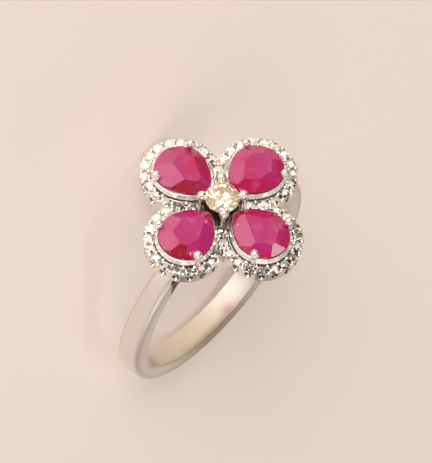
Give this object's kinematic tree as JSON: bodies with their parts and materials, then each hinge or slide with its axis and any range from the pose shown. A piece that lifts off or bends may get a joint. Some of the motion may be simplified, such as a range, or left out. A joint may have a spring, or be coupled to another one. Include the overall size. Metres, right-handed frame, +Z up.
{
  "type": "cluster ring",
  "caption": "Polished white gold finger ring: a flower of pear-cut rubies round a small round diamond, inside a scalloped halo of tiny diamonds, lying on its side.",
  "frame": {"origin": "centre of the base of the bounding box, on the surface that the ring lies on", "axes": "+Z up from the surface; +Y from the flower towards the back of the band; +X across the band, to the right when seen from the flower's side"},
  "size_m": [0.0206, 0.0234, 0.0147],
  "materials": {
    "white_gold": "rhodium-plated white gold, high polish",
    "ruby": "faceted pinkish red ruby, polished",
    "diamond": "faceted diamond, polished"
  },
  "bodies": {
    "root": {"ring_mount": "white_gold", "ruby_north_east": "ruby", "ruby_north_west": "ruby", "ruby_south_west": "ruby", "ruby_south_east": "ruby", "centre_diamond": "diamond"}
  },
  "joints": []
}
